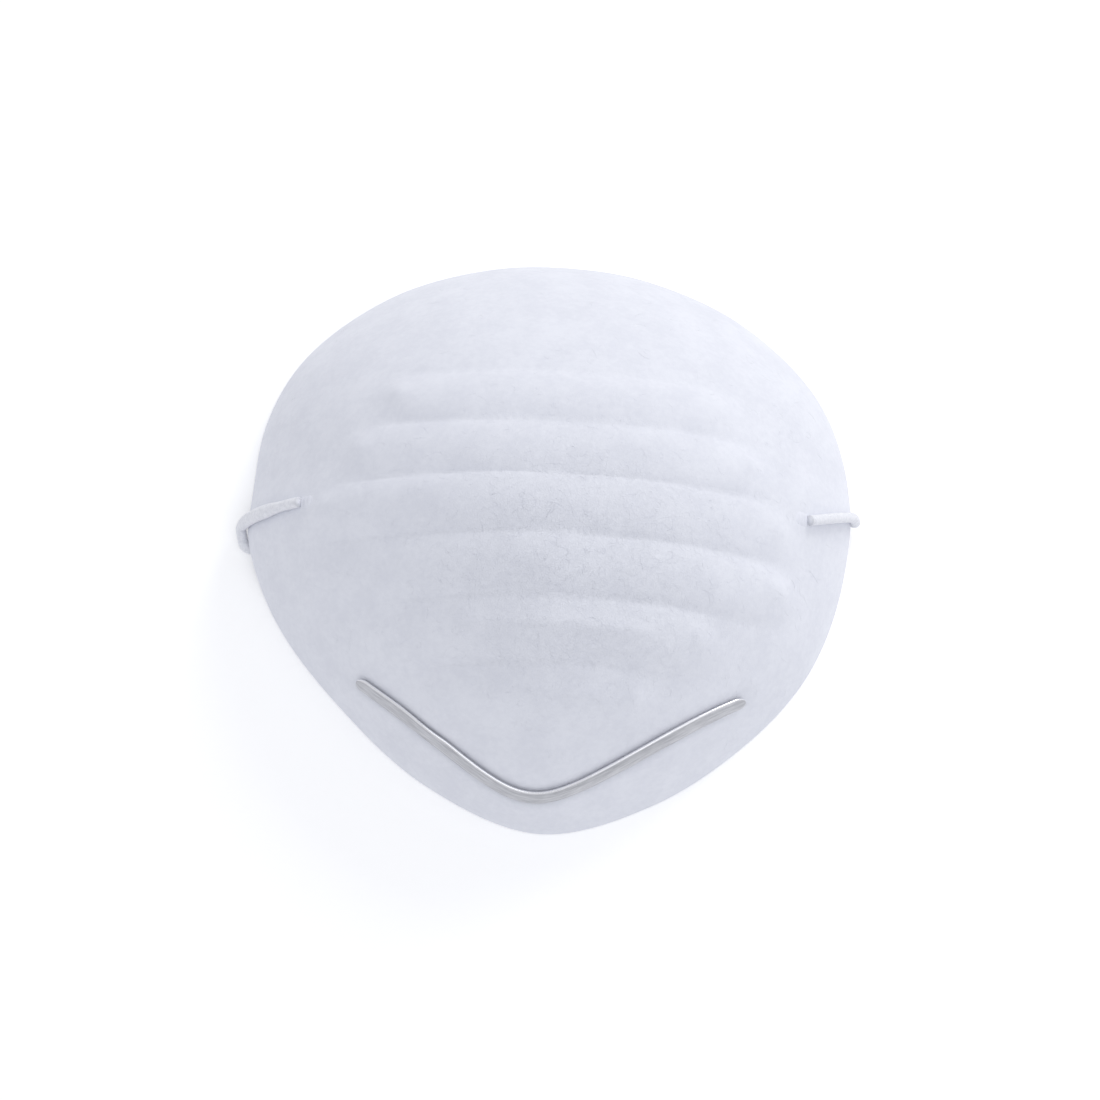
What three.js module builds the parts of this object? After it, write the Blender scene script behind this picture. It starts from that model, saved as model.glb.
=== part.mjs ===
// Disposable dust mask: a cup moulded from three non-woven layers, a bent aluminium nose strip,
// and one round elastic strap welded to the outside of the cup at both cheeks.
//
// Millimetres. The cup lies rim down. +Z is up, out of the front of the cup. The nose end points
// to -Y and the chin end to +Y. The origin is the middle of the rim's box, on the plane it rests on.

import * as THREE from 'three';

// ---- cup ----
const CUP_HEIGHT = 46;
const TOP_SHIFT_Y = -3;          // how far the top of the cup leans towards the nose end
const DOME_POWER = 0.74;         // height follows (1 - s * s) to this power, s being 1 at the rim
const CHEEK_ARCH = 3.4;          // how far the rim rises over the strap at each cheek
const CHEEK_ARCH_WIDTH = 9;
const EAR_BULGE = 0.4;           // how far the rim swells outwards where the strap crosses it
const EAR_BULGE_WIDTH = 7;
const NOSE_LEAN = 2.6;           // how far the nose end of the soft cup leans towards +X
const NOSE_LEAN_FROM = 5;        // distances towards the nose over which the lean grows
const NOSE_LEAN_TO = 45;

// ---- ribs moulded across the front ----
const RIB_PITCH = 12.2;
const RIB_HEIGHT = 1.15;
const RIB_FULLNESS = 0.7;        // power of the sine across a rib: lower is flatter on top
const FIRST_CREASE_Y = 22.8;
const RIB_HALF_LENGTHS = [35, 42, 49, 50, 34, 22];
const RIB_END_FADE = 6;
const RIB_TILT = 0.031;          // slope of the creases from cheek to cheek
const RIB_CURL = 1.8 / 45 ** 2;  // how fast the creases curve towards the chin away from the middle

// ---- layers, each measured inwards from the cup's outer face ----
const LAYER_GAP = 0.3;
const COVER_THICKNESS = 0.6;
const FILTER_THICKNESS = 0.4;
const INNER_THICKNESS = 0.7;
const FILTER_DEPTH = COVER_THICKNESS + LAYER_GAP;
const INNER_DEPTH = FILTER_DEPTH + FILTER_THICKNESS + LAYER_GAP;
const HEM_DEPTH = INNER_DEPTH + INNER_THICKNESS + 0.6;
const HEM_THICKNESS = 0.8;
const LAYER_SEGMENTS = 48;
const LAYER_RINGS = 16;          // from the top down to the last ring over the hem
const LAST_SHARE = 0.987;        // the last ring's share of the rim
const RING_CROWDING = 0.9;

// ---- nose strip ----
const STRIP_WIDTH = 3.3;
const STRIP_THICKNESS = 0.7;
const STRIP_MIDDLE_X = 2.9;
const STRIP_TIP_X = 0.8;
const STRIP_TIP_Y = -60.2;       // its bend over the bridge of the nose
const STRIP_HALF_SPAN = 40.3;
const STRIP_SLOPE = 0.735;       // how fast both legs run towards the chin
const STRIP_TILT = -0.015;
const STRIP_BEND = 7.5;          // roundness of the bend between the legs
const STRIP_END_ROUNDING = 0.06; // share of the half length over which each end narrows
const STRIP_END_WIDTH = 0.4;     // share of the width left at the very end
const STRIP_SEGMENTS = 44;

// ---- strap ----
const STRAP_DIAMETER = 2.2;
const STRAP_RADIUS = STRAP_DIAMETER / 2;
const STRAP_SIDES = 8;
const SEAT_GAP = 0.3;
const WELD_LENGTH = 5;
const WELD_WIDTH = 3.2;
const WELD_THICKNESS = 0.5;
const HINGE_Z = 1.35;
const LEFT_EXIT = new THREE.Vector3(-61.5, -7, HINGE_Z);
const RIGHT_EXIT = new THREE.Vector3(61.5, 9, HINGE_Z);
const HINGE_AXIS = RIGHT_EXIT.clone().sub(LEFT_EXIT).normalize();
const STRAIGHT_OUTSIDE = 1.2;    // straight lengths on both sides of an exit, along the hinge's axis
const STRAIGHT_INSIDE = 3.5;
const LEFT_CROSSING_Y = -4.5;    // where the strap crosses the rim
const RIGHT_CROSSING_Y = 7.6;
const LEFT_WELD = { x: -51, y: -3.5 };
const RIGHT_WELD = { x: 53, y: 1.6 };

const nonWoven = (color) => new THREE.MeshStandardMaterial({ color, roughness: 0.95, metalness: 0 });
const coverMaterial = nonWoven(0xe6e7ee);
const filterMaterial = nonWoven(0xf3f4f7);
const innerMaterial = nonWoven(0xe9e9ec);
const strapMaterial = new THREE.MeshStandardMaterial({ color: 0xf0f0f4, roughness: 0.85, metalness: 0 });
const stripMaterial = new THREE.MeshStandardMaterial({ color: 0xb9bbc0, roughness: 0.35, metalness: 1 });

// ---- the rim's outline, seen from above ----
// Points of the right half, from the nose tip to the chin. The left half mirrors them.
const HALF_OUTLINE = [
  [0, -65],
  [24.1, -56.7],
  [43.9, -40.7],
  [56.7, -24.7],
  [63.2, -8.7],
  [64.5, 7],
  [63, 23.5],
  [55.7, 39.5],
  [38, 55.2],
  [17, 63.3],
  [0, 65],
];

function outlinePoints() {
  const right = HALF_OUTLINE.map(([x, y]) => new THREE.Vector3(x, y, 0));
  const left = HALF_OUTLINE.slice(1, -1).reverse().map(([x, y]) => new THREE.Vector3(-x, y, 0));
  return [...right, ...left];
}

// Polar form of the outline: the angle is measured from -Y, the nose end, towards +X.
const outlineCurve = new THREE.CatmullRomCurve3(outlinePoints(), true, 'centripetal');
const OUTLINE_SAMPLES = 720;
const outlineTable = outlineCurve
  .getPoints(OUTLINE_SAMPLES)
  .slice(0, OUTLINE_SAMPLES)
  .map((p) => ({ angle: wrapped(Math.atan2(p.x, -p.y)), radius: Math.hypot(p.x, p.y) }))
  .sort((a, b) => a.angle - b.angle);

function wrapped(angle) {
  const turn = 2 * Math.PI;
  return ((angle % turn) + turn) % turn;
}

function outlineRadius(angle) {
  const wanted = wrapped(angle);
  const after = outlineTable.findIndex((row) => row.angle > wanted);
  const last = outlineTable.length - 1;
  if (after <= 0) {
    const low = outlineTable[last];
    const high = outlineTable[0];
    const span = high.angle + 2 * Math.PI - low.angle;
    const from = wanted >= low.angle ? wanted - low.angle : wanted + 2 * Math.PI - low.angle;
    return THREE.MathUtils.lerp(low.radius, high.radius, from / span);
  }
  const low = outlineTable[after - 1];
  const high = outlineTable[after];
  return THREE.MathUtils.lerp(low.radius, high.radius, (wanted - low.angle) / (high.angle - low.angle));
}

// 1 where the strap crosses the rim, falling to 0 on both sides of it.
function nearStrap(angle, width) {
  const crossing = Math.sin(angle) > 0 ? RIGHT_CROSSING_Y : LEFT_CROSSING_Y;
  const y = -outlineRadius(angle) * Math.cos(angle);
  const away = Math.exp(-(((y - crossing) / width) ** 2));
  return away * Math.abs(Math.sin(angle));
}

function radiusAt(angle, share) {
  return outlineRadius(angle) + EAR_BULGE * nearStrap(angle, EAR_BULGE_WIDTH) * share ** 6;
}

function riseAt(share) {
  return Math.max(0, 1 - share * share) ** DOME_POWER;
}

function leanAt(y) {
  return NOSE_LEAN * THREE.MathUtils.smoothstep(-y, NOSE_LEAN_FROM, NOSE_LEAN_TO);
}

// A point of the cup's ribless outer face. share is 0 at the top and 1 at the rim.
function facePoint(angle, share) {
  const rise = riseAt(share);
  const reach = share * radiusAt(angle, share);
  const base = CHEEK_ARCH * nearStrap(angle, CHEEK_ARCH_WIDTH);
  const y = -reach * Math.cos(angle) + TOP_SHIFT_Y * rise;
  return new THREE.Vector3(reach * Math.sin(angle) + leanAt(y), y, base + (CUP_HEIGHT - base) * rise);
}

const STEP = 1e-3;

// The ribless outer face's outward normal.
function faceNormal(angle, share) {
  const at = Math.min(Math.max(share, 2 * STEP), 1 - STEP);
  const along = facePoint(angle + STEP, at).sub(facePoint(angle - STEP, at));
  const outwards = facePoint(angle, at + STEP).sub(facePoint(angle, at - STEP));
  const normal = outwards.cross(along).normalize();
  return share < STEP ? new THREE.Vector3(0, 0, 1) : normal;
}

// How far the ribs lift the face at a place seen from above. Each rib is a round ridge between creases.
function ribLift(x, y) {
  const place = (FIRST_CREASE_Y + RIB_TILT * x + RIB_CURL * x * x - y) / RIB_PITCH;
  const number = Math.floor(place);
  if (number < 0 || number >= RIB_HALF_LENGTHS.length) {
    return 0;
  }
  const across = place - number;
  const half = RIB_HALF_LENGTHS[number];
  const roundEnd = (RIB_PITCH / 2) * (1 - Math.sqrt(1 - (2 * across - 1) ** 2));
  const pastEnd = Math.abs(x) - half + roundEnd;
  const fade = 1 - THREE.MathUtils.smoothstep(pastEnd, -RIB_END_FADE, RIB_END_FADE);
  return RIB_HEIGHT * fade * Math.sin(Math.PI * across) ** RIB_FULLNESS;
}

// A point at a height above the ribbed outer face, or at a depth under it where the height is negative.
function cupPoint(angle, share, height) {
  const point = facePoint(angle, share);
  const lift = ribLift(point.x, point.y);
  return point.addScaledVector(faceNormal(angle, share), lift + height);
}

// ---- layers ----
// A point of the hem: inwards from the rim by a depth, and over the rim's underside by a lift.
function hemPoint(angle, height, lift) {
  const rim = facePoint(angle, 1);
  const inwards = faceNormal(angle, 1).setZ(0).normalize();
  return rim.addScaledVector(inwards, height).setZ(rim.z + lift);
}

// Two triangles for each quad of a lathe. Quads on the inside are split along their other diagonal, so
// that they lie side by side with the outside of the next layer.
function latheFaces(profile) {
  const faces = [];
  for (let i = 0; i < LAYER_SEGMENTS; i += 1) {
    for (let j = 0; j < profile.length - 1; j += 1) {
      const a = i * profile.length + j;
      const b = a + profile.length;
      const c = b + 1;
      const d = a + 1;
      faces.push(...(profile[j].inside ? [a, b, c, a, c, d] : [a, b, d, c, d, b]));
    }
  }
  return faces;
}

// A layer is a lathe whose rings are then placed on the cup. Each profile entry says which ring of the
// cup it is on, its height over the outer face, and, next to the rim, its lift over the rim's underside.
function layerMesh(name, profile, material) {
  const rings = profile.map(({ share, height }) => new THREE.Vector2(share, height));
  const geometry = new THREE.LatheGeometry(rings, LAYER_SEGMENTS);
  const places = geometry.getAttribute('position');
  for (let i = 0; i <= LAYER_SEGMENTS; i += 1) {
    const angle = (2 * Math.PI * (i % LAYER_SEGMENTS)) / LAYER_SEGMENTS;
    profile.forEach(({ share, height, lift }, j) => {
      const point = lift === undefined ? cupPoint(angle, share, height) : hemPoint(angle, height, lift);
      places.setXYZ(i * profile.length + j, point.x, point.y, point.z);
    });
  }
  geometry.setIndex(latheFaces(profile));
  geometry.computeVertexNormals();
  const mesh = new THREE.Mesh(geometry, material);
  mesh.name = name;
  return mesh;
}

// The rings over the hem, from the top down. All layers share them, so that their facets lie side by side.
function ringShares() {
  const shares = [];
  for (let ring = 0; ring < LAYER_RINGS; ring += 1) {
    shares.push(LAST_SHARE * Math.sin((Math.PI / 2) * (ring / (LAYER_RINGS - 1)) ** RING_CROWDING));
  }
  return shares;
}

function faceRings(height, inside) {
  return ringShares().map((share) => ({ share, height, inside }));
}

function outerCover() {
  const hem = [
    { share: 1, height: 0, lift: 0 },
    { share: 1, height: -HEM_DEPTH, lift: 0 },
    { share: 1, height: -HEM_DEPTH, lift: HEM_THICKNESS },
    { share: 1, height: -COVER_THICKNESS, lift: HEM_THICKNESS },
  ];
  const inside = faceRings(-COVER_THICKNESS, true).reverse();
  return layerMesh('outer_cover', [...faceRings(0, false), ...hem, ...inside].reverse(), coverMaterial);
}

function buriedLayer(name, depth, thickness, material) {
  const lift = HEM_THICKNESS + LAYER_GAP;
  const edge = [
    { share: 1, height: -depth, lift },
    { share: 1, height: -depth - thickness, lift },
  ];
  const inside = faceRings(-depth - thickness, true).reverse();
  return layerMesh(name, [...faceRings(-depth, false), ...edge, ...inside].reverse(), material);
}

// ---- pieces bent over the cup ----
// Moves a flat piece, whose X runs around the cup, Y towards its top and Z away from it, onto the cup.
function bentOver(geometry, name, material, placeAt) {
  const places = geometry.getAttribute('position');
  for (let i = 0; i < places.count; i += 1) {
    const point = placeAt(places.getX(i), places.getY(i), places.getZ(i));
    places.setXYZ(i, point.x, point.y, point.z);
  }
  geometry.computeVertexNormals();
  const mesh = new THREE.Mesh(geometry, material);
  mesh.name = name;
  return mesh;
}

// Millimetres of face per unit of share, going down towards the rim.
function faceSpeed(angle, share) {
  return facePoint(angle, share + STEP).distanceTo(facePoint(angle, share - STEP)) / (2 * STEP);
}

// The angle and the share of the face's point over a place seen from above.
function faceAt({ x, y }) {
  let angle = 0;
  let share = 0.8;
  for (let round = 0; round < 40; round += 1) {
    const awayX = x - leanAt(y);
    const awayY = y - TOP_SHIFT_Y * riseAt(share);
    angle = Math.atan2(awayX, -awayY);
    share = Math.hypot(awayX, awayY) / radiusAt(angle, share);
  }
  return { angle, share };
}

// Where the strip's middle line runs, seen from above. along is -1 at one end and 1 at the other.
function stripPlace(along) {
  const x = STRIP_MIDDLE_X + along * STRIP_HALF_SPAN;
  const away = x - STRIP_TIP_X;
  const y = STRIP_TIP_Y - STRIP_BEND + Math.hypot(STRIP_BEND, STRIP_SLOPE * away) + STRIP_TILT * away;
  return { x, y };
}

function noseStrip() {
  const flat = new THREE.BoxGeometry(2, STRIP_WIDTH, STRIP_THICKNESS, STRIP_SEGMENTS, 2, 1);
  return bentOver(flat, 'nose_strip', stripMaterial, (along, across, up) => {
    const toEnd = (Math.abs(along) - (1 - STRIP_END_ROUNDING)) / STRIP_END_ROUNDING;
    const narrowing = Math.max(STRIP_END_WIDTH, Math.sqrt(1 - THREE.MathUtils.clamp(toEnd, 0, 1) ** 2));
    const { angle, share } = faceAt(stripPlace(along));
    const moved = share - (across * narrowing) / faceSpeed(angle, share);
    return cupPoint(angle, moved, SEAT_GAP + STRIP_THICKNESS / 2 + up);
  });
}

function strapWeld(name, place) {
  const { angle, share } = faceAt(place);
  const pad = new THREE.BoxGeometry(WELD_WIDTH, WELD_LENGTH, WELD_THICKNESS, 3, 4, 1);
  return bentOver(pad, name, strapMaterial, (along, across, up) => {
    const turned = angle + along / facePoint(angle, share).setZ(0).length();
    const moved = share - across / faceSpeed(angle, share);
    return cupPoint(turned, moved, SEAT_GAP + WELD_THICKNESS / 2 + up);
  });
}

// ---- strap ----
function cordMesh(name, points, steps) {
  const section = new THREE.Shape(
    Array.from({ length: STRAP_SIDES }, (_, i) => {
      const turn = (2 * Math.PI * i) / STRAP_SIDES;
      return new THREE.Vector2(STRAP_RADIUS * Math.cos(turn), STRAP_RADIUS * Math.sin(turn));
    }),
  );
  const path = new THREE.CatmullRomCurve3(points, false, 'centripetal');
  const geometry = new THREE.ExtrudeGeometry(section, { steps, extrudePath: path });
  const mesh = new THREE.Mesh(geometry, strapMaterial);
  mesh.name = name;
  return mesh;
}

// The length of strap that lies on the cup's face, from its weld, over the rim and under it to its exit.
function strapEnd(name, weld, crossingY, exit) {
  const side = Math.sign(weld.x);
  const start = faceAt(weld);
  const rim = faceAt({ x: exit.x, y: crossingY });
  const startShare = start.share + (WELD_LENGTH / 2 + SEAT_GAP) / faceSpeed(start.angle, start.share);
  const seat = SEAT_GAP + STRAP_RADIUS;
  const onFace = [0, 0.2, 0.4, 0.6, 0.8, 1].map((part) => {
    const angle = THREE.MathUtils.lerp(start.angle, rim.angle, part);
    return cupPoint(angle, THREE.MathUtils.lerp(startShare, LAST_SHARE, part), seat + SEAT_GAP * part);
  });
  const corner = facePoint(rim.angle, 1);
  const lead = exit.clone().addScaledVector(HINGE_AXIS, side * STRAIGHT_OUTSIDE);
  const roundRim = [0.12, 0.45, 0.85].map((part) => {
    const turn = (part * Math.PI) / 2;
    const reach = seat + SEAT_GAP;
    return new THREE.Vector3(
      corner.x + side * reach * Math.cos(turn),
      THREE.MathUtils.lerp(corner.y, lead.y, part),
      corner.z - reach * Math.sin(turn),
    );
  });
  return cordMesh(name, [...onFace, ...roundRim, lead, exit.clone()], 18);
}

// The free length, lying loosely inside the cup on the surface that the rim rests on.
const LYING_Z = 1.15;
const FREE_STRAP = [
  [-53.8, -4.6],
  [-51, 0],
  [-50, 8],
  [-49.3, 17],
  [-46, 27],
  [-39.5, 36.5],
  [-30, 43.5],
  [-20, 46.5],
  [-12, 44],
  [-7.8, 37.5],
  [-5.4, 30.5],
  [0, 26.5],
  [5.4, 30.5],
  [7.8, 37.5],
  [12, 44],
  [20, 46.5],
  [30, 44.5],
  [39.5, 38.5],
  [46, 30.5],
  [49.6, 21.5],
  [53, 12.4],
];

function freeStrap() {
  const inwards = (exit, distance) => exit.clone().addScaledVector(HINGE_AXIS, distance);
  const lying = FREE_STRAP.map(([x, y]) => new THREE.Vector3(x, y, LYING_Z));
  const points = [
    inwards(LEFT_EXIT, SEAT_GAP),
    inwards(LEFT_EXIT, STRAIGHT_INSIDE),
    ...lying,
    inwards(RIGHT_EXIT, -STRAIGHT_INSIDE),
    inwards(RIGHT_EXIT, -SEAT_GAP),
  ];
  return cordMesh('head_strap', points, 66);
}

const mask = new THREE.Group();
mask.add(outerCover());
mask.add(buriedLayer('filter_layer', FILTER_DEPTH, FILTER_THICKNESS, filterMaterial));
mask.add(buriedLayer('inner_shell', INNER_DEPTH, INNER_THICKNESS, innerMaterial));
mask.add(noseStrip());
mask.add(strapWeld('strap_weld_left', LEFT_WELD));
mask.add(strapWeld('strap_weld_right', RIGHT_WELD));
mask.add(strapEnd('strap_end_left', LEFT_WELD, LEFT_CROSSING_Y, LEFT_EXIT));
mask.add(strapEnd('strap_end_right', RIGHT_WELD, RIGHT_CROSSING_Y, RIGHT_EXIT));
mask.add(freeStrap());

export default mask;
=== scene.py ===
"""A disposable dust mask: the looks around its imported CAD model.

Metres, with +Z out of the cup's front and -Y towards the nose.
"""

import math

import bmesh
import bpy
import numpy as np
from mathutils import Matrix, Vector, noise


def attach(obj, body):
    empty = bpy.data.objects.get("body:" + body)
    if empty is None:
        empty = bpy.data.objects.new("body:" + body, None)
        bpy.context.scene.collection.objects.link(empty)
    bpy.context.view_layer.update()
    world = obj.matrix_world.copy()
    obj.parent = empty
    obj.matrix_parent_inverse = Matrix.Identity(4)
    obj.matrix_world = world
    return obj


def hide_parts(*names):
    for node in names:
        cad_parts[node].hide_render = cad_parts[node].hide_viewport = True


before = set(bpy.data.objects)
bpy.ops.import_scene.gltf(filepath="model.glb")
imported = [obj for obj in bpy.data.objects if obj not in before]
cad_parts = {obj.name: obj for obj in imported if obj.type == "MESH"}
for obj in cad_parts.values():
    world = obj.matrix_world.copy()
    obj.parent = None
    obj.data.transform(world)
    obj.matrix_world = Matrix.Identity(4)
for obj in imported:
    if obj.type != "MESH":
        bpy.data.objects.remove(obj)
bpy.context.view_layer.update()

MM = 0.001
rng = np.random.default_rng(7)

# ---- driving sizes, as in the CAD model ----
CUP_HEIGHT = 46 * MM
TOP_SHIFT_Y = -3 * MM
DOME_POWER = 0.74
CHEEK_ARCH = 3.4 * MM
CHEEK_ARCH_WIDTH = 9 * MM
EAR_BULGE = 0.4 * MM
EAR_BULGE_WIDTH = 7 * MM
NOSE_LEAN = 2.6 * MM
NOSE_LEAN_FROM = 5 * MM
NOSE_LEAN_TO = 45 * MM
RIB_PITCH = 12.2 * MM
RIB_HEIGHT = 1.15 * MM
RIB_FULLNESS = 0.7
FIRST_CREASE_Y = 22.8 * MM
RIB_HALF_LENGTHS = np.array([35, 42, 49, 50, 34, 22]) * MM
RIB_END_FADE = 6 * MM
RIB_TILT = 0.031
RIB_CURL = 1.8 * MM / (45 * MM) ** 2
COVER_THICKNESS = 0.6 * MM
FILTER_DEPTH = 0.9 * MM
FILTER_THICKNESS = 0.4 * MM
INNER_DEPTH = 1.6 * MM
INNER_THICKNESS = 0.7 * MM
HEM_DEPTH = 2.9 * MM
HEM_THICKNESS = 0.8 * MM
STRIP_WIDTH = 3.3 * MM
STRIP_MIDDLE_X = 2.9 * MM
STRIP_TIP_X = 0.8 * MM
STRIP_TIP_Y = -60.2 * MM
STRIP_HALF_SPAN = 40.3 * MM
STRIP_SLOPE = 0.735
STRIP_TILT = -0.015
STRIP_BEND = 7.5 * MM
STRAP_DIAMETER = 2.2 * MM
HINGE_Z = 1.35 * MM
LYING_Z = 1.15 * MM
LEFT_EXIT = np.array([-61.5 * MM, -7 * MM, HINGE_Z])
RIGHT_EXIT = np.array([61.5 * MM, 9 * MM, HINGE_Z])
HINGE_AXIS = (RIGHT_EXIT - LEFT_EXIT) / np.linalg.norm(RIGHT_EXIT - LEFT_EXIT)
STRAIGHT_OUTSIDE = 1.2 * MM
STRAIGHT_INSIDE = 3.5 * MM
LEFT_CROSSING_Y = -4.5 * MM
RIGHT_CROSSING_Y = 7.6 * MM
LEFT_WELD = (-51 * MM, -3.5 * MM)
RIGHT_WELD = (53 * MM, 1.6 * MM)
WELD_LENGTH = 5 * MM
WELD_WIDTH = 3.2 * MM
HALF_OUTLINE = [
    (0, -65),
    (24.1, -56.7),
    (43.9, -40.7),
    (56.7, -24.7),
    (63.2, -8.7),
    (64.5, 7),
    (63, 23.5),
    (55.7, 39.5),
    (38, 55.2),
    (17, 63.3),
    (0, 65),
]
FREE_STRAP = [
    (-53.8, -4.6),
    (-51, 0),
    (-50, 8),
    (-49.3, 17),
    (-46, 27),
    (-39.5, 36.5),
    (-30, 43.5),
    (-20, 46.5),
    (-12, 44),
    (-7.8, 37.5),
    (-5.4, 30.5),
    (0, 26.5),
    (5.4, 30.5),
    (7.8, 37.5),
    (12, 44),
    (20, 46.5),
    (30, 44.5),
    (39.5, 38.5),
    (46, 30.5),
    (49.6, 21.5),
    (53, 12.4),
]
LAST_SHARE = 0.987  # the share of the face at which layers and strap turn round the rim

# ---- sizes of the looks alone ----
KNOB_HEIGHT = 0.55 * MM  # bumps at both ends of each rib
KNOB_RADIUS = 2.4 * MM
KNOB_INSET = 2 * MM
KNOB_ACROSS = 0.4
CREST_HEIGHT = 0.5 * MM  # low ridges along the two ribs nearest the nose
CREST_WIDTH = 1.5 * MM
CREST_ACROSS = 0.42
CREST_MIDDLE_X = 2 * MM
CREST_END_FADE = 2 * MM
CREST_HALF_LENGTHS = np.array([0, 0, 0, 0, 19, 12]) * MM
HEM_ROUNDING = 0.3 * MM
STRIP_THICKNESS = 0.8 * MM
STRIP_SEAT = 0.05 * MM
STRIP_CROWN = 0.08 * MM
BEAD_HEIGHT = 0.08 * MM  # raised line along the strip's edge on the chin side
BEAD_WIDTH = 0.25 * MM
PRESS_DEPTH = 0.4 * MM  # groove that the strip has pressed into the web
PRESS_WIDTH = 2.4 * MM
PRESS_RIDGE_AWAY = 4 * MM
PRESS_RIDGE_WIDTH = 1.3 * MM
PRESS_RIDGE_SHARE = 0.4
EXIT_GAP = 0.04 * MM
BRAID_PITCH = 1.5 * MM
LEFT_TAIL_RIM_Y = -2.6 * MM
LEFT_TAIL_BEYOND = 0.45 * MM
RIGHT_TAIL_BEYOND = -0.1 * MM
WAVE_HEIGHT = 0.32
WORKED_MIDDLE = (8, -19, 38)  # millimetres, where the web is most worked
WORLD_STRENGTH = 0.7
FLOOR_GLOW = 0.19


# ---- camera ----
CAMERA_ELEVATION = math.radians(70)
CAMERA_ROLL = math.radians(4.2)
CAMERA_DISTANCE = 0.7
CAMERA_LENS = 107.4
CAMERA_TARGET = Vector((0.0002, -0.0007, 0.010))
CAMERA_DROP = 0.00426


def make_camera():
    """Looks at the cup from above its nose end, turned a little about its own line of sight."""
    back = Vector((0, -math.cos(CAMERA_ELEVATION), math.sin(CAMERA_ELEVATION)))
    level = Vector((1, 0, 0))
    upright = Vector((0, math.sin(CAMERA_ELEVATION), math.cos(CAMERA_ELEVATION)))
    right = math.cos(CAMERA_ROLL) * level + math.sin(CAMERA_ROLL) * upright
    up = -math.sin(CAMERA_ROLL) * level + math.cos(CAMERA_ROLL) * upright
    data = bpy.data.cameras.new("camera")
    data.lens = CAMERA_LENS
    data.clip_start = 0.01
    data.clip_end = 20
    camera = bpy.data.objects.new("camera", data)
    bpy.context.scene.collection.objects.link(camera)
    place = CAMERA_TARGET + back * CAMERA_DISTANCE - up * CAMERA_DROP
    turn = Matrix((right, up, back)).transposed()
    camera.matrix_world = Matrix.Translation(place) @ turn.to_4x4()
    bpy.context.scene.camera = camera


# ---- curves and surfaces ----
def smooth_curve(points, closed, per_span):
    """A centripetal Catmull-Rom curve through points, as an array of positions."""
    p = np.array(points, float)
    if closed:
        p = np.vstack([p[-1], p, p[0], p[1]])
    else:
        p = np.vstack([2 * p[0] - p[1], p, 2 * p[-1] - p[-2]])
    found = []
    for i in range(len(p) - 3):
        a, b, c, d = p[i : i + 4]
        ta = 0.0
        tb = ta + np.linalg.norm(b - a) ** 0.5
        tc = tb + np.linalg.norm(c - b) ** 0.5
        td = tc + np.linalg.norm(d - c) ** 0.5
        t = np.linspace(tb, tc, per_span, endpoint=False)[:, None]
        ab = (tb - t) / (tb - ta) * a + (t - ta) / (tb - ta) * b
        bc = (tc - t) / (tc - tb) * b + (t - tb) / (tc - tb) * c
        cd = (td - t) / (td - tc) * c + (t - tc) / (td - tc) * d
        abc = (tc - t) / (tc - ta) * ab + (t - ta) / (tc - ta) * bc
        bcd = (td - t) / (td - tb) * bc + (t - tb) / (td - tb) * cd
        found.append((tc - t) / (tc - tb) * abc + (t - tb) / (tc - tb) * bcd)
    if not closed:
        found.append(p[-2][None])
    return np.vstack(found)


def outline_table():
    """The outline's angles, from the nose towards +X, and its radii there."""
    right = [(x * MM, y * MM) for x, y in HALF_OUTLINE]
    left = [(-x, y) for x, y in right[1:-1]][::-1]
    points = smooth_curve(right + left, True, 40)
    angles = np.arctan2(points[:, 0], -points[:, 1]) % (2 * math.pi)
    order = np.argsort(angles)
    return angles[order], np.hypot(points[:, 0], points[:, 1])[order]


OUTLINE_ANGLES, OUTLINE_RADII = outline_table()


def outline_radius(angle):
    return np.interp(angle, OUTLINE_ANGLES, OUTLINE_RADII, period=2 * math.pi)


def near_strap(angle, width):
    """1 where the strap crosses the rim, falling to 0 on both sides of it."""
    y = -outline_radius(angle) * np.cos(angle)
    crossing_y = np.where(np.sin(angle) > 0, RIGHT_CROSSING_Y, LEFT_CROSSING_Y)
    return np.exp(-(((y - crossing_y) / width) ** 2)) * np.abs(np.sin(angle))


def radius_at(angle, share):
    return outline_radius(angle) + EAR_BULGE * near_strap(angle, EAR_BULGE_WIDTH) * share**6


def rise_at(share):
    return np.maximum(0, 1 - share * share) ** DOME_POWER


def lean_at(y):
    return NOSE_LEAN * smoothstep(-y, NOSE_LEAN_FROM, NOSE_LEAN_TO)


def face_point(angle, share):
    """Points of the cup's ribless outer face. share is 0 at the top and 1 at the rim."""
    angle, share = np.broadcast_arrays(angle, share)
    rise = rise_at(share)
    reach = share * radius_at(angle, share)
    base = CHEEK_ARCH * near_strap(angle, CHEEK_ARCH_WIDTH)
    y = -reach * np.cos(angle) + TOP_SHIFT_Y * rise
    return np.stack([reach * np.sin(angle) + lean_at(y), y, base + (CUP_HEIGHT - base) * rise], -1)


def face_normal(angle, share):
    step = 1e-3
    angle, share = np.broadcast_arrays(angle, share)
    at = np.clip(share, 2 * step, 1 - step)
    along = face_point(angle + 9 * step, at) - face_point(angle - 9 * step, at)
    outwards = face_point(angle, at + step) - face_point(angle, at - step)
    normal = np.cross(outwards, along)
    normal /= np.linalg.norm(normal, axis=-1, keepdims=True)
    top = (share < step)[..., None]
    return np.where(top, np.array([0.0, 0.0, 1.0]), normal)


def smoothstep(value, low, high):
    t = np.clip((value - low) / (high - low), 0, 1)
    return t * t * (3 - 2 * t)


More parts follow.
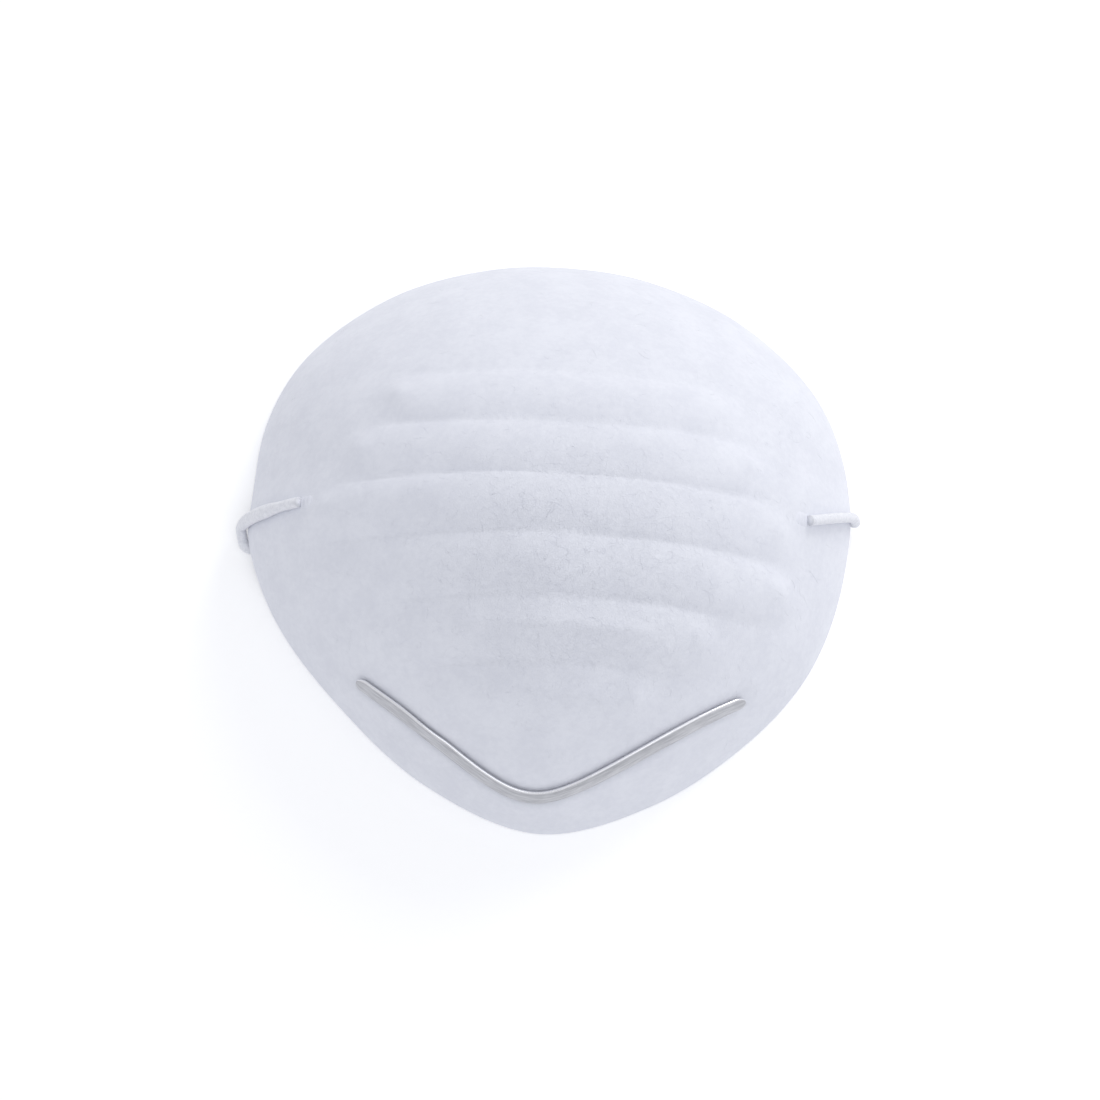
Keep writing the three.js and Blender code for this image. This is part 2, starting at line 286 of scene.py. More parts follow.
def rib_lift(x, y):
    """How far the ribs lift the face. Each rib is a round ridge that starts and ends in a crease."""
    place = (FIRST_CREASE_Y + RIB_TILT * x + RIB_CURL * x * x - y) / RIB_PITCH
    number = np.floor(place).astype(int)
    inside = (number >= 0) & (number < len(RIB_HALF_LENGTHS))
    half = RIB_HALF_LENGTHS[np.clip(number, 0, len(RIB_HALF_LENGTHS) - 1)]
    across = place - number
    round_end = RIB_PITCH / 2 * (1 - np.sqrt(1 - (2 * across - 1) ** 2))
    fade = 1 - smoothstep(np.abs(x) - half + round_end, -RIB_END_FADE, RIB_END_FADE)
    knob_x = np.abs(x) - half + KNOB_INSET
    knob_y = (across - KNOB_ACROSS) * RIB_PITCH
    knob = np.exp(-((knob_x**2 + knob_y**2) / KNOB_RADIUS**2))
    ridge = RIB_HEIGHT * fade * np.sin(math.pi * across) ** RIB_FULLNESS
    crest_half = CREST_HALF_LENGTHS[np.clip(number, 0, len(CREST_HALF_LENGTHS) - 1)]
    from_middle = np.abs(x - CREST_MIDDLE_X)
    crest = 1 - smoothstep(from_middle, crest_half - CREST_END_FADE, crest_half + CREST_END_FADE)
    crest_y = (across - CREST_ACROSS) * RIB_PITCH
    crest = crest * (crest_half > 0) * np.exp(-((crest_y / CREST_WIDTH) ** 2))
    return np.where(inside, ridge + KNOB_HEIGHT * knob + CREST_HEIGHT * crest, 0)


def cup_point(angle, share, height):
    """Points at a height above the ribbed outer face, or at a depth under it where height is negative."""
    point = face_point(angle, share)
    lift = rib_lift(point[..., 0], point[..., 1])
    return point + face_normal(angle, share) * (lift + height)[..., None]


def hem_point(angle, depth, lift):
    """Points inwards from the rim by a depth and over its underside by a lift."""
    rim = face_point(angle, np.ones_like(angle))
    inwards = -face_normal(angle, np.ones_like(angle))
    inwards[..., 2] = 0
    inwards /= np.linalg.norm(inwards, axis=-1, keepdims=True)
    point = rim + inwards * depth
    point[..., 2] = rim[..., 2] + lift
    return point


def face_speed(angle, share):
    """Metres of face per unit of share."""
    step = 1e-3
    moved = face_point(angle, share + step) - face_point(angle, share - step)
    return np.linalg.norm(moved, axis=-1) / (2 * step)


def face_at(x, y):
    """The angles and shares of the face's points over places seen from above."""
    angle = np.zeros_like(x)
    share = np.full_like(x, 0.8)
    for _ in range(40):
        away_x = x - lean_at(y)
        away_y = y - TOP_SHIFT_Y * rise_at(share)
        angle = np.arctan2(away_x, -away_y)
        share = np.hypot(away_x, away_y) / radius_at(angle, share)
    return angle, share


def strip_place(along):
    """Where the nose strip's middle line runs, seen from above. along is -1 to 1."""
    x = STRIP_MIDDLE_X + along * STRIP_HALF_SPAN
    away = x - STRIP_TIP_X
    y = STRIP_TIP_Y - STRIP_BEND + np.hypot(STRIP_BEND, STRIP_SLOPE * away) + STRIP_TILT * away
    return x, y


# ---- mesh helpers ----
def mesh_object(name, vertices, faces):
    mesh = bpy.data.meshes.new(name)
    mesh.from_pydata([tuple(v) for v in vertices], [], faces)
    mesh.validate()
    work = bmesh.new()
    work.from_mesh(mesh)
    bmesh.ops.recalc_face_normals(work, faces=work.faces)
    work.to_mesh(mesh)
    work.free()
    mesh.shade_smooth()
    thing = bpy.data.objects.new(name, mesh)
    bpy.context.scene.collection.objects.link(thing)
    return thing


def ring_faces(first, second, count):
    """Quads between two closed rings of count vertices, which start at the two numbers."""
    return [
        (first + i, first + (i + 1) % count, second + (i + 1) % count, second + i)
        for i in range(count)
    ]


def tube(name, path, radius_at, sides):
    """A tube along path. radius_at gives the radius for arrays of turn and length run."""
    path = np.array(path)
    steps = np.diff(path, axis=0)
    run = np.concatenate([[0], np.cumsum(np.linalg.norm(steps, axis=1))])
    tangents = np.gradient(path, axis=0)
    tangents /= np.linalg.norm(tangents, axis=1)[:, None]
    side = np.cross(tangents[0], [0.0, 0.0, 1.0])
    if np.linalg.norm(side) < 1e-3:
        side = np.cross(tangents[0], [0.0, 1.0, 0.0])
    turn = np.arange(sides) * 2 * math.pi / sides
    vertices, faces = [], []
    for i, (place, tangent) in enumerate(zip(path, tangents, strict=True)):
        side = side - tangent * np.dot(side, tangent)
        side /= np.linalg.norm(side)
        other = np.cross(tangent, side)
        radius = radius_at(turn, run[i])[:, None]
        vertices.extend(place + radius * (np.cos(turn)[:, None] * side + np.sin(turn)[:, None] * other))
        if i:
            faces += ring_faces((i - 1) * sides, i * sides, sides)
    faces.append(tuple(range(sides))[::-1])
    faces.append(tuple(range((len(path) - 1) * sides, len(path) * sides)))
    return mesh_object(name, vertices, faces)


# ---- the three layers of the cup ----
SEGMENTS = 300
RINGS = 110


def ring_shares(last):
    part = np.linspace(0, 1, RINGS + 1)[1:]
    return last * np.sin(math.pi / 2 * part**0.97)


def layer(name, outer_height, inner_height, edge, last_share, wave):
    """A closed shell between two heights, joined at the rim by edge, a list of (depth, lift)."""
    angle = np.arange(SEGMENTS) * 2 * math.pi / SEGMENTS
    shares = ring_shares(last_share)
    rings = []
    for height, order in ((outer_height, shares), (inner_height, shares[::-1])):
        if height is inner_height:
            rings += [hem_point(angle, depth, lift) for depth, lift in edge]
        rings += [cup_point(angle, np.full(SEGMENTS, share), np.full(SEGMENTS, height)) for share in order]
    top = cup_point(np.zeros(1), np.zeros(1), np.array([outer_height]))[0]
    under = cup_point(np.zeros(1), np.zeros(1), np.array([inner_height]))[0]
    vertices = np.vstack([top[None], *rings, under[None]])
    vertices += wave(vertices)
    faces = [(0, 1 + i, 1 + (i + 1) % SEGMENTS) for i in range(SEGMENTS)]
    for j in range(len(rings) - 1):
        faces += ring_faces(1 + j * SEGMENTS, 1 + (j + 1) * SEGMENTS, SEGMENTS)
    last = 1 + (len(rings) - 1) * SEGMENTS
    end = len(vertices) - 1
    faces += [(last + (i + 1) % SEGMENTS, last + i, end) for i in range(SEGMENTS)]
    return mesh_object(name, vertices, faces)


def soft_waves(vertices):
    """Slight unevenness of a moulded web, fading out at the rim's underside."""
    found = np.zeros_like(vertices)
    for i, (x, y, z) in enumerate(vertices):
        broad = noise.noise(Vector((x, y, z)) * 45)
        fine = noise.noise(Vector((x, y, z)) * 170 + Vector((3, 5, 7)))
        strength = min(1.0, max(0.0, (z - 1.5 * MM) / (6 * MM)))
        found[i] = np.array([0.2 * broad, 0.2 * broad, broad * WAVE_HEIGHT + fine * 0.10]) * MM * strength
    return found


def pressed_web(vertices):
    """The waves of the web, and the groove that the nose strip has pressed into it."""
    angle, share = face_at(*strip_place(np.linspace(-1, 1, 240)))
    line = cup_point(angle, share, np.zeros_like(share))
    found = soft_waves(vertices)
    near = np.flatnonzero(vertices[:, 1] < -30 * MM)
    gaps = np.linalg.norm(vertices[near, None] - line[None], axis=2).min(axis=1)
    groove = np.exp(-((gaps / PRESS_WIDTH) ** 4))
    ridge = np.exp(-(((gaps - PRESS_RIDGE_AWAY) / PRESS_RIDGE_WIDTH) ** 2))
    depth = PRESS_DEPTH * (groove - PRESS_RIDGE_SHARE * ridge)
    found[near, 2] -= depth * 0.7
    found[near, 1] += depth * 0.7
    return found


def rounded_hem():
    """Depth and lift of the sealed rim's cross-section, from its outer corner round to the inside."""
    r = HEM_ROUNDING
    quarter = [math.radians(a) for a in (0, 30, 60, 90)]
    outer = [(r - r * math.cos(a), r - r * math.sin(a)) for a in quarter]
    flat = [(HEM_DEPTH * part, 0.0) for part in (0.3, 0.5, 0.7)]
    inner = [(HEM_DEPTH - r + r * math.sin(a), r - r * math.cos(a)) for a in quarter]
    top = HEM_THICKNESS
    upper = [(HEM_DEPTH - r + r * math.cos(a), top - r + r * math.sin(a)) for a in quarter]
    return outer + flat + inner + upper + [(COVER_THICKNESS, top)]


def make_layers():
    cover = layer("cover_web", 0.0, -COVER_THICKNESS, rounded_hem(), 0.9975, pressed_web)
    web = layer(
        "filter_web",
        -FILTER_DEPTH,
        -FILTER_DEPTH - FILTER_THICKNESS,
        [(FILTER_DEPTH, 1.1 * MM), (FILTER_DEPTH + FILTER_THICKNESS, 1.1 * MM)],
        LAST_SHARE,
        soft_waves,
    )
    inner = layer(
        "inner_web",
        -INNER_DEPTH + 0.1 * MM,
        -INNER_DEPTH - INNER_THICKNESS,
        [(INNER_DEPTH, 0.9 * MM), (INNER_DEPTH + INNER_THICKNESS, 0.9 * MM)],
        LAST_SHARE,
        soft_waves,
    )
    return cover, web, inner


# ---- the strap ----
def braid(turn, run):
    """A round braid: small lozenges on a cord of the strap's radius."""
    along = run / BRAID_PITCH * 2 * math.pi
    lozenge = np.cos(4 * turn + along) * np.cos(4 * turn - along)
    return STRAP_DIAMETER / 2 * (1.01 + 0.04 * lozenge)


def pulled_flat(turn, run):
    """The same braid, spread along the cup where it is pulled over the rim."""
    spread = smoothstep(run, 5 * MM, 12 * MM) * (1 - smoothstep(run, 21 * MM, 27 * MM))
    return braid(turn, run) * (1 + 0.4 * spread * np.cos(turn) ** 2)


def free_strap_path():
    points = [
        LEFT_EXIT + HINGE_AXIS * EXIT_GAP,
        LEFT_EXIT + HINGE_AXIS * STRAIGHT_INSIDE,
        *[(x * MM, y * MM, LYING_Z) for x, y in FREE_STRAP],
        RIGHT_EXIT - HINGE_AXIS * STRAIGHT_INSIDE,
        RIGHT_EXIT - HINGE_AXIS * EXIT_GAP,
    ]
    return smooth_curve(points, False, 32)


def strap_end_path(weld, crossing_y, exit, beyond):
    """From the weld down the cup's face, round the rim and under it to where the strap leaves."""
    side = math.copysign(1, weld[0])
    angle, share = face_at(np.array([weld[0], exit[0]]), np.array([weld[1], crossing_y]))
    start_share = share[0] + (WELD_LENGTH / 2 - 0.9 * MM) / face_speed(angle[0], share[0])
    seat = STRAP_DIAMETER / 2
    part = np.array([0, 0.2, 0.4, 0.6, 0.8, 1])
    angles = angle[0] + (angle[1] - angle[0]) * part
    shares = start_share + (LAST_SHARE - start_share) * part
    on_face = cup_point(angles, shares, seat * (1 - 0.35 * (1 - part) ** 3))
    corner = face_point(angle[1], np.array(1.0))
    reach = seat + beyond
    lead = exit + HINGE_AXIS * side * STRAIGHT_OUTSIDE
    around = []
    for part in (0.12, 0.45, 0.85):
        turn = part * math.pi / 2
        y = corner[1] + (lead[1] - corner[1]) * part
        around.append((corner[0] + side * reach * math.cos(turn), y, corner[2] - reach * math.sin(turn)))
    return smooth_curve([*map(tuple, on_face), *around, tuple(lead), tuple(exit)], False, 20)


def make_strap():
    path = free_strap_path()
    loop = tube("strap_loop", path, braid, 20)
    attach(loop, "strap")
    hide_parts("head_strap")
    ends = []
    left_path = strap_end_path(LEFT_WELD, LEFT_TAIL_RIM_Y, LEFT_EXIT, LEFT_TAIL_BEYOND)
    right_path = strap_end_path(RIGHT_WELD, RIGHT_CROSSING_Y, RIGHT_EXIT, RIGHT_TAIL_BEYOND)
    for name, tail_path, girth, node in (
        ("strap_tail_left", left_path, pulled_flat, "strap_end_left"),
        ("strap_tail_right", right_path, braid, "strap_end_right"),
    ):
        tail = tube(name, tail_path, girth, 20)
        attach(tail, "cup")
        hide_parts(node)
        ends.append(tail)
    return loop, ends


# ---- nose strip and welds ----
STRIP_STEPS = 260
STRIP_SECTION = 20


def make_nose_strip():
    """A rolled aluminium band with rounded edges and ends, a little dented by fingers."""
    along = np.sin(np.linspace(-math.pi / 2, math.pi / 2, STRIP_STEPS))
    angle, share = face_at(*strip_place(along))
    speed = face_speed(angle, share)
    to_end = np.clip((np.abs(along) - 0.96) / 0.04, 0, 1)
    narrowing = np.maximum(0.05, np.sqrt(1 - to_end**2))
    turn = np.arange(STRIP_SECTION) * 2 * math.pi / STRIP_SECTION
    across = STRIP_WIDTH / 2 * np.sign(np.cos(turn)) * np.abs(np.cos(turn)) ** 0.62
    up = STRIP_THICKNESS / 2 * np.sign(np.sin(turn)) * np.abs(np.sin(turn)) ** 0.7
    vertices, faces = [], []
    for i in range(STRIP_STEPS):
        dent = 0.05 * MM * noise.noise(Vector((along[i] * 9, 0.3, 0.7)))
        wander = 0.05 * MM * noise.noise(Vector((along[i] * 5, 4.3, 1.7)))
        shares = share[i] - (across * narrowing[i] + wander) / speed[i]
        crown = STRIP_CROWN * (1 - (across / (STRIP_WIDTH / 2)) ** 2)
        bead = BEAD_HEIGHT * np.exp(-(((across - STRIP_WIDTH * 0.42) / BEAD_WIDTH) ** 2)) * (up > 0)
        heights = STRIP_SEAT + STRIP_THICKNESS / 2 + up * narrowing[i] ** 0.5 + dent + crown + bead
        vertices.extend(cup_point(np.full(STRIP_SECTION, angle[i]), shares, heights))
        if i:
            faces += ring_faces((i - 1) * STRIP_SECTION, i * STRIP_SECTION, STRIP_SECTION)
    faces.append(tuple(range(STRIP_SECTION))[::-1])
    faces.append(tuple(range((STRIP_STEPS - 1) * STRIP_SECTION, STRIP_STEPS * STRIP_SECTION)))
    vertices = np.array(vertices)
    vertices += soft_waves(vertices)
    strip = mesh_object("aluminium_strip", vertices, faces)
    lengths = along * STRIP_HALF_SPAN * 1.2
    grain = strip.data.uv_layers.new(name="grain")
    for corner in strip.data.loops:
        step, around = divmod(corner.vertex_index, STRIP_SECTION)
        grain.data[corner.index].uv = (lengths[step], across[around])
    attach(strip, "cup")
    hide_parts("nose_strip")
    return strip


WELD_RINGS = 16
WELD_SEGMENTS = 56


def make_weld(name, weld, node):
    """The strap's end, melted flat into the cup, with the welding tool's bars across it."""
    angle, share = face_at(np.array([weld[0]]), np.array([weld[1]]))
    angle, share = angle[0], share[0]
    reach = np.linalg.norm(face_point(angle, share)[:2])
    speed = face_speed(angle, share)
    turn = np.arange(WELD_SEGMENTS) * 2 * math.pi / WELD_SEGMENTS
    rings = []
    for part in np.linspace(0, 1, WELD_RINGS + 1)[1:]:
        long_way = part * (WELD_LENGTH / 2 + 0.2 * MM) * np.sign(np.cos(turn)) * np.abs(np.cos(turn)) ** 0.7
        cross_way = part * WELD_WIDTH / 2 * np.sign(np.sin(turn)) * np.abs(np.sin(turn)) ** 0.7
        bars = 0.07 * MM * np.cos(long_way / (1.25 * MM) * 2 * math.pi) * (1 - part**4)
        height = 0.34 * MM * (1 - part**3) - 0.12 * MM + bars
        rings.append(cup_point(angle + cross_way / reach, share + long_way / speed, height))
    centre = cup_point(np.array([angle]), np.array([share]), np.array([0.29 * MM]))
    under = cup_point(np.array([angle]), np.array([share]), np.array([-0.3 * MM]))
    vertices = np.vstack([centre, *rings, under])
    vertices += soft_waves(vertices)
    faces = [(0, 1 + i, 1 + (i + 1) % WELD_SEGMENTS) for i in range(WELD_SEGMENTS)]
    for j in range(WELD_RINGS - 1):
        faces += ring_faces(1 + j * WELD_SEGMENTS, 1 + (j + 1) * WELD_SEGMENTS, WELD_SEGMENTS)
    last = 1 + (WELD_RINGS - 1) * WELD_SEGMENTS
    faces += [(last + (i + 1) % WELD_SEGMENTS, last + i, len(vertices) - 1) for i in range(WELD_SEGMENTS)]
    pad = mesh_object(name, vertices, faces)
    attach(pad, "cup")
    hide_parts(node)
    return pad


# ---- loose fibres ----
FIBRE_COUNT = 1500
FIBRE_STEPS = 9


def make_fibres():
    """Curled fibres lying on the web, most of them on the nose side of the cup's top."""
    spread = rng.uniform(-1, 1, (FIBRE_COUNT, 2)) * np.array([66, 66]) * MM
    dense = rng.normal(0, 1, (FIBRE_COUNT, 2)) * np.array([20, 14]) * MM + np.array([8, -17]) * MM
    start = np.where(rng.random((FIBRE_COUNT, 1)) < 0.75, dense, spread)
    length = rng.uniform(1, 4, FIBRE_COUNT) * MM
    curl = rng.normal(0, 2.6, FIBRE_COUNT)
    heading = rng.uniform(0, 2 * math.pi, FIBRE_COUNT)
    part = np.linspace(0, 1, FIBRE_STEPS)
    headings = heading[:, None] + curl[:, None] * part + rng.normal(0, 0.22, (FIBRE_COUNT, FIBRE_STEPS))
    steps = length[:, None, None] / FIBRE_STEPS * np.stack([np.cos(headings), np.sin(headings)], -1)
    places = start[:, None] + np.cumsum(steps, axis=1)
    angle, share = face_at(places[..., 0], places[..., 1])
    kept = share.max(axis=1) < 0.985
    angle, share, length = angle[kept], share[kept], length[kept]
    radius = rng.uniform(0.008, 0.022, len(length)) * MM
    arch = rng.uniform(0.0, 0.03, len(length))[:, None] * MM * np.sin(math.pi * part)
    line = cup_point(angle, share, radius[:, None] * 0.5 + arch)
    flat = line.reshape(-1, 3)
    line = (flat + pressed_web(flat)).reshape(line.shape)
    tangent = np.gradient(line, axis=1)
    tangent /= np.linalg.norm(tangent, axis=2, keepdims=True)
    normal = face_normal(angle, share)
    side = np.cross(tangent, normal)
    taper = radius[:, None] * (0.35 + 0.65 * np.sin(math.pi * np.clip(part, 0.04, 0.96)))
    corners = []
    for turn in (math.pi / 2, math.pi * 7 / 6, math.pi * 11 / 6):
        corners.append(line + taper[..., None] * (math.cos(turn) * side + math.sin(turn) * normal))
    vertices = np.stack(corners, 2).reshape(-1, 3)
    faces = []
    for fibre in range(len(length)):
        for step in range(FIBRE_STEPS - 1):
            first = (fibre * FIBRE_STEPS + step) * 3
            faces += ring_faces(first, first + 3, 3)
        first = fibre * FIBRE_STEPS * 3
        last = first + (FIBRE_STEPS - 1) * 3
        faces += [(first + 2, first + 1, first), (last, last + 1, last + 2)]
    fibres = mesh_object("loose_fibres", vertices, faces)
    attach(fibres, "cup")
    return fibres


# ---- materials ----
def new_material(name):
    material = bpy.data.materials.new(name)
    material.use_nodes = True
    tree = material.node_tree
    return material, tree, tree.nodes["Principled BSDF"]


def plug(tree, socket, value):
    """Links value into a socket if it is an output, or else sets it."""
    if isinstance(value, bpy.types.NodeSocket):
        tree.links.new(value, socket)
    else:
        socket.default_value = value


def maths(tree, operation, first, second=0.0):
    node = tree.nodes.new("ShaderNodeMath")
    node.operation = operation
    plug(tree, node.inputs[0], first)
    plug(tree, node.inputs[1], second)
    return node.outputs[0]


def vector_maths(tree, operation, first, second):
    node = tree.nodes.new("ShaderNodeVectorMath")
    node.operation = operation
    plug(tree, node.inputs[0], first)
    plug(tree, node.inputs[1], second)
    return node.outputs[0]


def noise_of(tree, vector, scale, detail, output="Fac", distortion=0.0):
    node = tree.nodes.new("ShaderNodeTexNoise")
    plug(tree, node.inputs["Vector"], vector)
    node.inputs["Scale"].default_value = scale
    node.inputs["Detail"].default_value = detail
    node.inputs["Roughness"].default_value = 0.6
    node.inputs["Distortion"].default_value = distortion
    return node.outputs[output]


def strands(tree, vector, scale):
    """1 on the walls between irregular cells, which look like crossing fibres, and 0 away from them."""
    node = tree.nodes.new("ShaderNodeTexVoronoi")
    node.feature = "DISTANCE_TO_EDGE"
    plug(tree, node.inputs["Vector"], vector)
    node.inputs["Scale"].default_value = scale
    return between(tree, node.outputs["Distance"], 0.0, 0.09, 1.0, 0.0)


def between(tree, value, low, high, to_low, to_high):
    node = tree.nodes.new("ShaderNodeMapRange")
    node.interpolation_type = "SMOOTHSTEP"
    for name, given in (
        ("Value", value),
        ("From Min", low),
        ("From Max", high),
        ("To Min", to_low),
        ("To Max", to_high),
    ):
        plug(tree, node.inputs[name], given)
    return node.outputs["Result"]


def blended(tree, share, first, second):
    node = tree.nodes.new("ShaderNodeMix")
    node.data_type = "RGBA"
    plug(tree, node.inputs[0], share)
    plug(tree, node.inputs[6], first)
    plug(tree, node.inputs[7], second)
    return node.outputs[2]


def bumped(tree, shader, height, strength, distance):
    node = tree.nodes.new("ShaderNodeBump")
    node.inputs["Distance"].default_value = distance
    plug(tree, node.inputs["Strength"], strength)
    plug(tree, node.inputs["Height"], height)
    tree.links.new(node.outputs["Normal"], shader.inputs["Normal"])


def millimetres(tree, kind="Object"):
    coordinates = tree.nodes.new("ShaderNodeTexCoord")
    return vector_maths(tree, "MULTIPLY", coordinates.outputs[kind], (1000, 1000, 1000))


def web_material(name, dark, light, relief, sheen, bonds=False):
    """Needle-punched or bonded non-woven: clouds, clumps and fibres crossing every way."""
    material, tree, shader = new_material(name)
    where = millimetres(tree)
    clouds = noise_of(tree, where, 0.13, 3)
    clumps = noise_of(tree, where, 0.75, 6)
    fuzz = noise_of(tree, where, 5.0, 4)
    sway = vector_maths(tree, "MULTIPLY", noise_of(tree, where, 0.45, 3, "Color"), (3.4, 3.4, 3.4))
    bent = vector_maths(tree, "ADD", where, sway)
    long_x = vector_maths(tree, "MULTIPLY", bent, (0.45, 1.0, 1.0))
    long_y = vector_maths(tree, "MULTIPLY", bent, (1.0, 0.45, 1.0))
    crossing = maths(tree, "MAXIMUM", strands(tree, long_x, 0.75), strands(tree, long_y, 0.95))
    fine = strands(tree, bent, 1.9)
    height = maths(tree, "MULTIPLY", clumps, 1.1)
    height = maths(tree, "ADD", height, maths(tree, "MULTIPLY", crossing, 0.35))
    height = maths(tree, "ADD", height, maths(tree, "MULTIPLY", fine, 0.22))
    height = maths(tree, "ADD", height, maths(tree, "MULTIPLY", fuzz, 0.25))
    parts = tree.nodes.new("ShaderNodeSeparateXYZ")
    tree.links.new(where, parts.inputs[0])
    if bonds:
        wave_x = maths(tree, "SINE", maths(tree, "MULTIPLY", parts.outputs[0], 3.9))
        wave_y = maths(tree, "SINE", maths(tree, "MULTIPLY", parts.outputs[1], 3.9))
        points = between(tree, maths(tree, "MULTIPLY", wave_x, wave_y), 0.45, 0.75, 0.0, 1.0)
        height = maths(tree, "SUBTRACT", height, maths(tree, "MULTIPLY", points, 0.5))
    worked = tree.nodes.new("ShaderNodeVectorMath")
    worked.operation = "DISTANCE"
    tree.links.new(where, worked.inputs[0])
    worked.inputs[1].default_value = WORKED_MIDDLE
    worked = between(tree, worked.outputs["Value"], 12.0, 50.0, 1.0, 0.2)
    bumped(tree, shader, height, maths(tree, "MULTIPLY", worked, relief), 0.28 * MM)
    tone = maths(tree, "ADD", maths(tree, "MULTIPLY", clouds, 0.55), maths(tree, "MULTIPLY", clumps, 0.45))
    tone = between(tree, tone, 0.34, 0.66, 0.0, 1.0)
    color = blended(tree, tone, (*dark, 1), (*light, 1))
    marks = maths(tree, "MULTIPLY", maths(tree, "ADD", crossing, fine), maths(tree, "MULTIPLY", worked, 0.04))
    shade = [part * 0.72 for part in dark]
    tree.links.new(blended(tree, marks, color, (*shade, 1)), shader.inputs["Base Color"])
    tree.links.new(between(tree, clumps, 0.3, 0.7, 0.95, 0.8), shader.inputs["Roughness"])
    shader.inputs["Specular IOR Level"].default_value = 0.25
    shader.inputs["Sheen Weight"].default_value = sheen
    shader.inputs["Sheen Roughness"].default_value = 0.5
    return material


def yarn_material(name, dark, light):
    """Spun yarns: fine fibres that catch the light, with grey between them."""
    material, tree, shader = new_material(name)
    where = millimetres(tree)
    clumps = noise_of(tree, where, 1.3, 4)
    hair = noise_of(tree, vector_maths(tree, "MULTIPLY", where, (7.0, 2.2, 7.0)), 1.0, 5, distortion=0.6)
    tone = maths(tree, "ADD", maths(tree, "MULTIPLY", clumps, 0.5), maths(tree, "MULTIPLY", hair, 0.5))
    tree.links.new(
        blended(tree, between(tree, tone, 0.36, 0.64, 0.0, 1.0), (*dark, 1), (*light, 1)),
        shader.inputs["Base Color"],
    )
    tree.links.new(between(tree, hair, 0.3, 0.7, 0.9, 0.72), shader.inputs["Roughness"])
    bumped(tree, shader, hair, 0.5, 0.15 * MM)
    shader.inputs["Sheen Weight"].default_value = 0.3
    shader.inputs["Specular IOR Level"].default_value = 0.3
    return material


def aluminium_material():
    """Soft rolled aluminium: grain along the strip, small dents and rubbed streaks, and a painted highlight,
    a near-white band in the colour along the strip's edge on the chin side.
    """
    material, tree, shader = new_material("rolled_aluminium")
    where = millimetres(tree, "UV")
    grain = noise_of(tree, vector_maths(tree, "MULTIPLY", where, (0.5, 14.0, 1.0)), 1.0, 4)
    streaks = noise_of(tree, vector_maths(tree, "MULTIPLY", where, (0.16, 2.4, 1.0)), 1.0, 3)
    dents = noise_of(tree, where, 0.6, 3)
    tone = maths(tree, "ADD", maths(tree, "MULTIPLY", grain, 0.4), maths(tree, "MULTIPLY", streaks, 0.6))
    tone = between(tree, tone, 0.35, 0.65, 0.0, 1.0)
    parts = tree.nodes.new("ShaderNodeSeparateXYZ")
    tree.links.new(where, parts.inputs[0])
    # painted highlight: the colour turns near-white in a band 1.1 to 1.4 mm from the strip's middle line, on
    # the chin side, and the roughness drops there
    painted_edge_highlight = between(tree, parts.outputs[1], 1.1, 1.4, 0.0, 1.0)
    body = blended(tree, tone, (0.42, 0.425, 0.45, 1), (0.6, 0.605, 0.63, 1))
    tree.links.new(blended(tree, painted_edge_highlight, body, (0.93, 0.93, 0.95, 1)), shader.inputs["Base Color"])
    worn = between(tree, streaks, 0.3, 0.7, 0.42, 0.3)
    worn = maths(tree, "SUBTRACT", worn, maths(tree, "MULTIPLY", painted_edge_highlight, 0.1))
    tree.links.new(worn, shader.inputs["Roughness"])
    height = maths(tree, "ADD", maths(tree, "MULTIPLY", grain, 0.3), dents)
    bumped(tree, shader, height, 0.35, 0.2 * MM)
    shader.inputs["Metallic"].default_value = 0.9
    return material


def floor_material():
    material, tree, shader = new_material("studio_paper")
    coordinates = tree.nodes.new("ShaderNodeTexCoord")
    tone = noise_of(tree, coordinates.outputs["Object"], 6.0, 3)
    tree.links.new(
        blended(tree, tone, (0.97, 0.97, 0.97, 1), (0.99, 0.99, 0.99, 1)), shader.inputs["Base Color"]
    )
    shader.inputs["Roughness"].default_value = 0.95
    shader.inputs["Specular IOR Level"].default_value = 0.1
    shader.inputs["Emission Color"].default_value = (1, 1, 1, 1)
    shader.inputs["Emission Strength"].default_value = FLOOR_GLOW
    return material


# ---- light and floor ----
def area_light(name, place, aim, size, power, color):
    data = bpy.data.lights.new(name, "AREA")
    data.size = size
    data.energy = power
    data.color = color
    light = bpy.data.objects.new(name, data)
    light.location = place
    light.rotation_euler = (Vector(aim) - Vector(place)).to_track_quat("-Z", "Y").to_euler()
    bpy.context.scene.collection.objects.link(light)


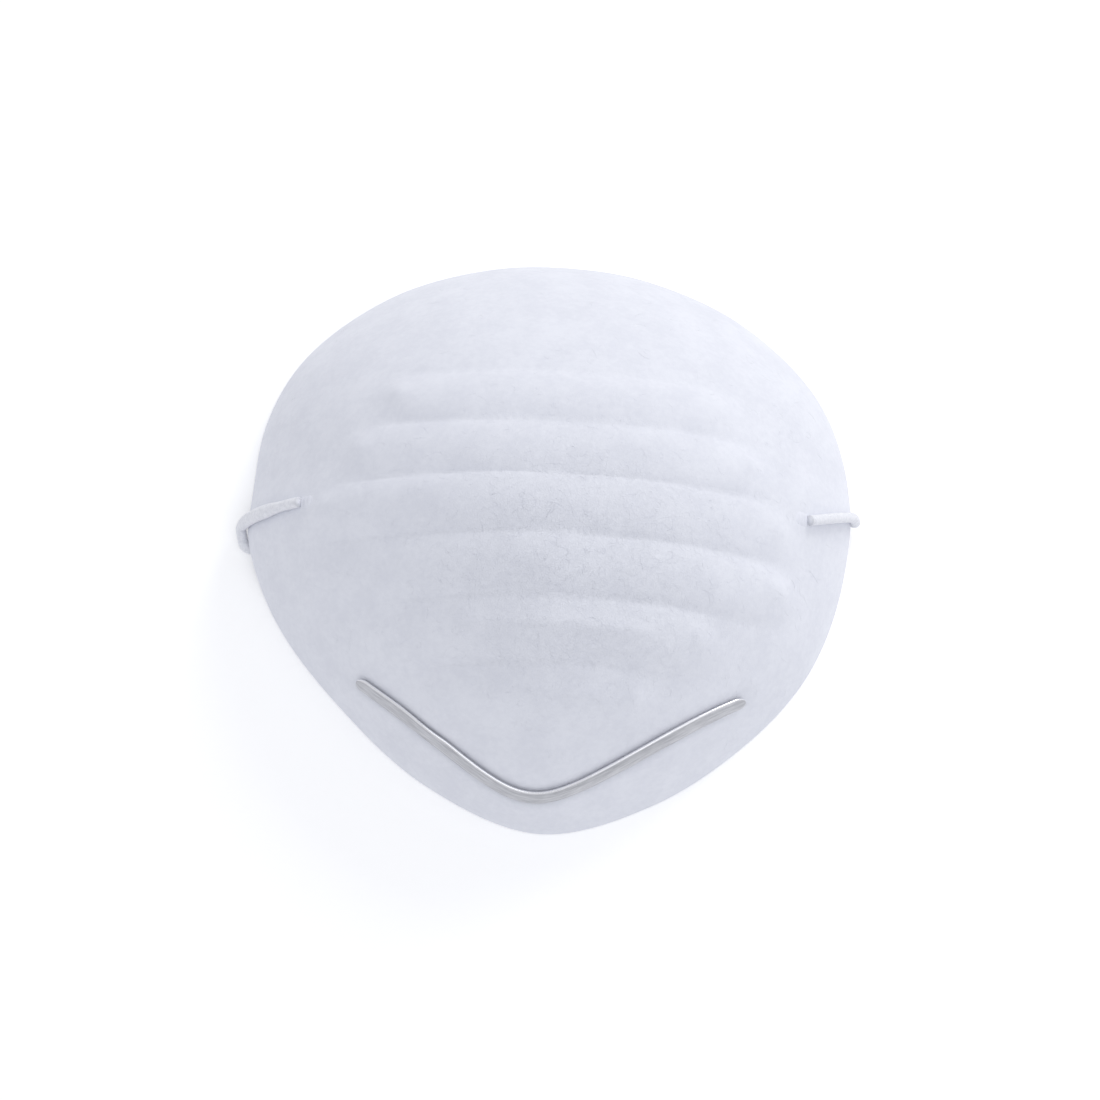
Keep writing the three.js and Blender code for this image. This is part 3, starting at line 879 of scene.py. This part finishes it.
def make_stage():
    scene = bpy.context.scene
    scene.view_settings.view_transform = "Standard"
    world = bpy.data.worlds.new("studio")
    world.use_nodes = True
    world.node_tree.nodes["Background"].inputs["Color"].default_value = (0.95, 0.96, 1.0, 1)
    world.node_tree.nodes["Background"].inputs["Strength"].default_value = WORLD_STRENGTH
    scene.world = world
    area_light("key", (0.55, 0.95, 0.62), (0, 0, 0.02), 0.5, 4.6, (1, 0.99, 0.98))
    area_light("fill", (0.25, -0.1, 0.85), (0, 0, 0.02), 0.8, 1.3, (0.94, 0.96, 1))
    floor = mesh_object(
        "floor",
        [(-3, -3, 0), (3, -3, 0), (3, 3, 0), (-3, 3, 0)],
        [(0, 1, 2, 3)],
    )
    floor.location.z = -0.2 * MM
    floor.data.materials.append(floor_material())


make_camera()
loop, tails = make_strap()
cover, web, inner = make_layers()
for piece, node, slot in (
    (cover, "outer_cover", "cover"),
    (web, "filter_layer", "filter"),
    (inner, "inner_shell", "inner"),
):
    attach(piece, "cup")
    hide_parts(node)
strip = make_nose_strip()
welds = [
    make_weld("weld_pad_left", LEFT_WELD, "strap_weld_left"),
    make_weld("weld_pad_right", RIGHT_WELD, "strap_weld_right"),
]
fibres = make_fibres()

cover.data.materials.append(web_material("cover_web", (0.755, 0.77, 0.833), (0.81, 0.825, 0.883), 0.4, 0.15))
web.data.materials.append(web_material("filter_web", (0.78, 0.79, 0.82), (0.86, 0.87, 0.9), 0.4, 0.1))
inner.data.materials.append(
    web_material("inner_web", (0.7, 0.705, 0.74), (0.79, 0.795, 0.82), 0.9, 0.15, bonds=True)
)
strip.data.materials.append(aluminium_material())
fibres.data.materials.append(yarn_material("fibre", (0.8, 0.81, 0.86), (0.9, 0.91, 0.95)))
elastic = yarn_material("braided_elastic", (0.76, 0.77, 0.82), (0.9, 0.91, 0.95))
for piece in (loop, *tails):
    piece.data.materials.append(elastic)
melted = web_material("melted_web", (0.75, 0.765, 0.83), (0.82, 0.835, 0.9), 0.3, 0.1)
for piece in welds:
    piece.data.materials.append(melted)
make_stage()
